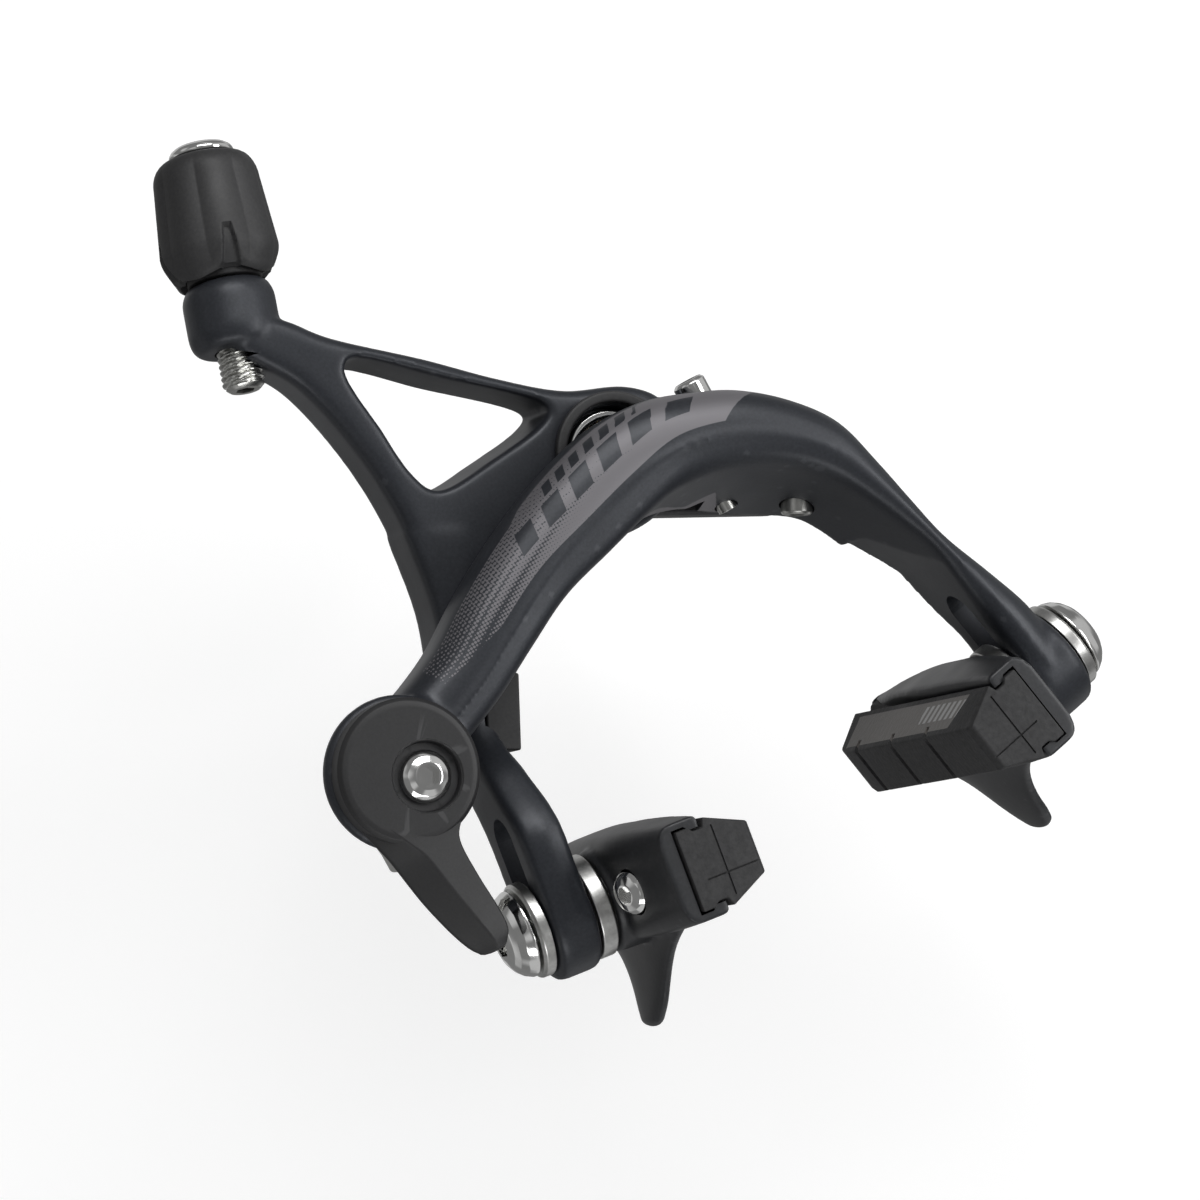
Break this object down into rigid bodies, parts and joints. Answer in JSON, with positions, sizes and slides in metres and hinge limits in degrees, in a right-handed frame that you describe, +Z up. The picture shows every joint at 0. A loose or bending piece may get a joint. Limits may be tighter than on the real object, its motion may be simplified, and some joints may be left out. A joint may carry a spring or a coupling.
{
  "type": "rim brake caliper",
  "caption": "Dual-pivot side-pull rim brake caliper: C-shaped front arm, windowed rear arm, barrel adjuster, quick-release cable anchor and slotted legs with cartridge brake pads.",
  "frame": {"origin": "axis of the centre bolt where the serrated washer meets the fork crown", "axes": "+X along the bicycle's left-right axis, towards the side pivot; +Y back along the centre bolt into the fork; +Z up"},
  "size_m": [0.1003, 0.0719, 0.1286],
  "materials": {
    "forged_arm": "satin dark blue-grey anodised forging",
    "bronze": "plain bearing bronze",
    "steel": "satin",
    "washer_steel": "satin, turned",
    "chrome": "polished",
    "black_plastic": "matte",
    "black_lever": "matte black",
    "rubber": "matte",
    "pad_holder_black": "satin black",
    "pad_rubber": "rough, matte"
  },
  "bodies": {
    "mounting": {"centre_bolt": "steel", "pivot_cap_nut": "black_plastic", "nose_ring": "chrome", "rear_thrust_washer": "bronze", "arm_thrust_washer": "black_plastic", "serrated_washer": "steel", "pivot_bracket": "steel", "side_pivot_pin": "steel", "side_thrust_washer": "bronze", "return_spring": "steel"},
    "front_arm_body": {"front_arm": "forged_arm", "pivot_bush": "bronze", "centring_screw": "steel", "lower_sync_screw": "steel", "pivot_grub_screw": "steel", "right_spring_slider": "black_plastic"},
    "rear_arm_body": {"rear_arm": "forged_arm", "rear_arm_bush": "bronze", "left_spring_slider": "black_plastic"},
    "adjuster_barrel_body": {"adjuster_barrel": "black_plastic", "adjuster_seal_ring": "rubber"},
    "adjuster_stud_body": {"adjuster_stud": "steel", "adjuster_end_cap": "chrome"},
    "quick_release_body": {"quick_release_lever": "black_lever", "lever_screw": "chrome", "hub_axle": "steel", "axle_clip": "steel"},
    "cable_anchor_body": {"cable_anchor_block": "steel", "cable_clamp_plate": "steel", "cable_clamp_bolt": "steel"},
    "left_pad_carrier": {"left_pad_bolt": "chrome", "left_outer_washer": "washer_steel", "left_inner_washer": "washer_steel", "left_ball_washer": "washer_steel"},
    "left_pad_body": {"left_pad_holder": "pad_holder_black", "left_brake_pad": "pad_rubber", "left_pad_screw": "chrome"},
    "right_pad_carrier": {"right_pad_bolt": "chrome", "right_outer_washer": "washer_steel", "right_inner_washer": "washer_steel", "right_ball_washer": "washer_steel"},
    "right_pad_body": {"right_pad_holder": "pad_holder_black", "right_brake_pad": "pad_rubber", "right_pad_screw": "chrome"}
  },
  "joints": [
    {"name": "front_arm_pivot", "type": "hinge", "parent": "mounting", "child": "front_arm_body", "pos_m": [0.0215, -0.02, -0.012], "axis": [0, 1, 0], "range_deg": [0, 12], "stiffness_Nm_per_rad": 1.5, "springref_deg": -20.05},
    {"name": "rear_arm_pivot", "type": "hinge", "parent": "mounting", "child": "rear_arm_body", "pos_m": [0, -0.013, 0], "axis": [0, 1, 0], "range_deg": [-9.6, 0]},
    {"name": "quick_release_turn", "type": "hinge", "parent": "front_arm_body", "child": "quick_release_body", "pos_m": [-0.0471, -0.028, -0.0205], "axis": [0, 1, 0], "range_deg": [0, 110]},
    {"name": "cable_anchor_swivel", "type": "hinge", "parent": "quick_release_body", "child": "cable_anchor_body", "pos_m": [-0.0487, -0.018, -0.0189], "axis": [0, 1, 0], "range_deg": [-110, 0]},
    {"name": "adjuster_barrel_turn", "type": "hinge", "parent": "rear_arm_body", "child": "adjuster_barrel_body", "pos_m": [-0.02903, -0.01109, 0.04838], "axis": [0.3639, 0.1759, 0.9147], "range_deg": [0, 1440]},
    {"name": "adjuster_stud_lift", "type": "slide", "parent": "rear_arm_body", "child": "adjuster_stud_body", "axis": [0.3639, 0.1759, 0.9147], "range_m": [0, 0.0032]},
    {"name": "left_pad_reach", "type": "slide", "parent": "rear_arm_body", "child": "left_pad_carrier", "axis": [0.1478, 0, 0.989], "range_m": [0, 0.011]},
    {"name": "left_pad_angle", "type": "hinge", "parent": "left_pad_carrier", "child": "left_pad_body", "pos_m": [-0.02849, -0.022, -0.04758], "axis": [0.989, 0, -0.1478], "range_deg": [-10, 10]},
    {"name": "right_pad_reach", "type": "slide", "parent": "front_arm_body", "child": "right_pad_carrier", "axis": [-0.184, 0, 0.9829], "range_m": [0, 0.011]},
    {"name": "right_pad_angle", "type": "hinge", "parent": "right_pad_carrier", "child": "right_pad_body", "pos_m": [0.02674, -0.022, -0.05127], "axis": [-0.9829, 0, -0.184], "range_deg": [-10, 10]}
  ],
  "couplings": [
    {"joint": "rear_arm_pivot", "follows": "front_arm_pivot", "ratio": -0.8},
    {"joint": "cable_anchor_swivel", "follows": "quick_release_turn", "ratio": -1},
    {"joint": "adjuster_barrel_turn", "follows": "adjuster_stud_lift", "rad_per_m": 7854}
  ]
}
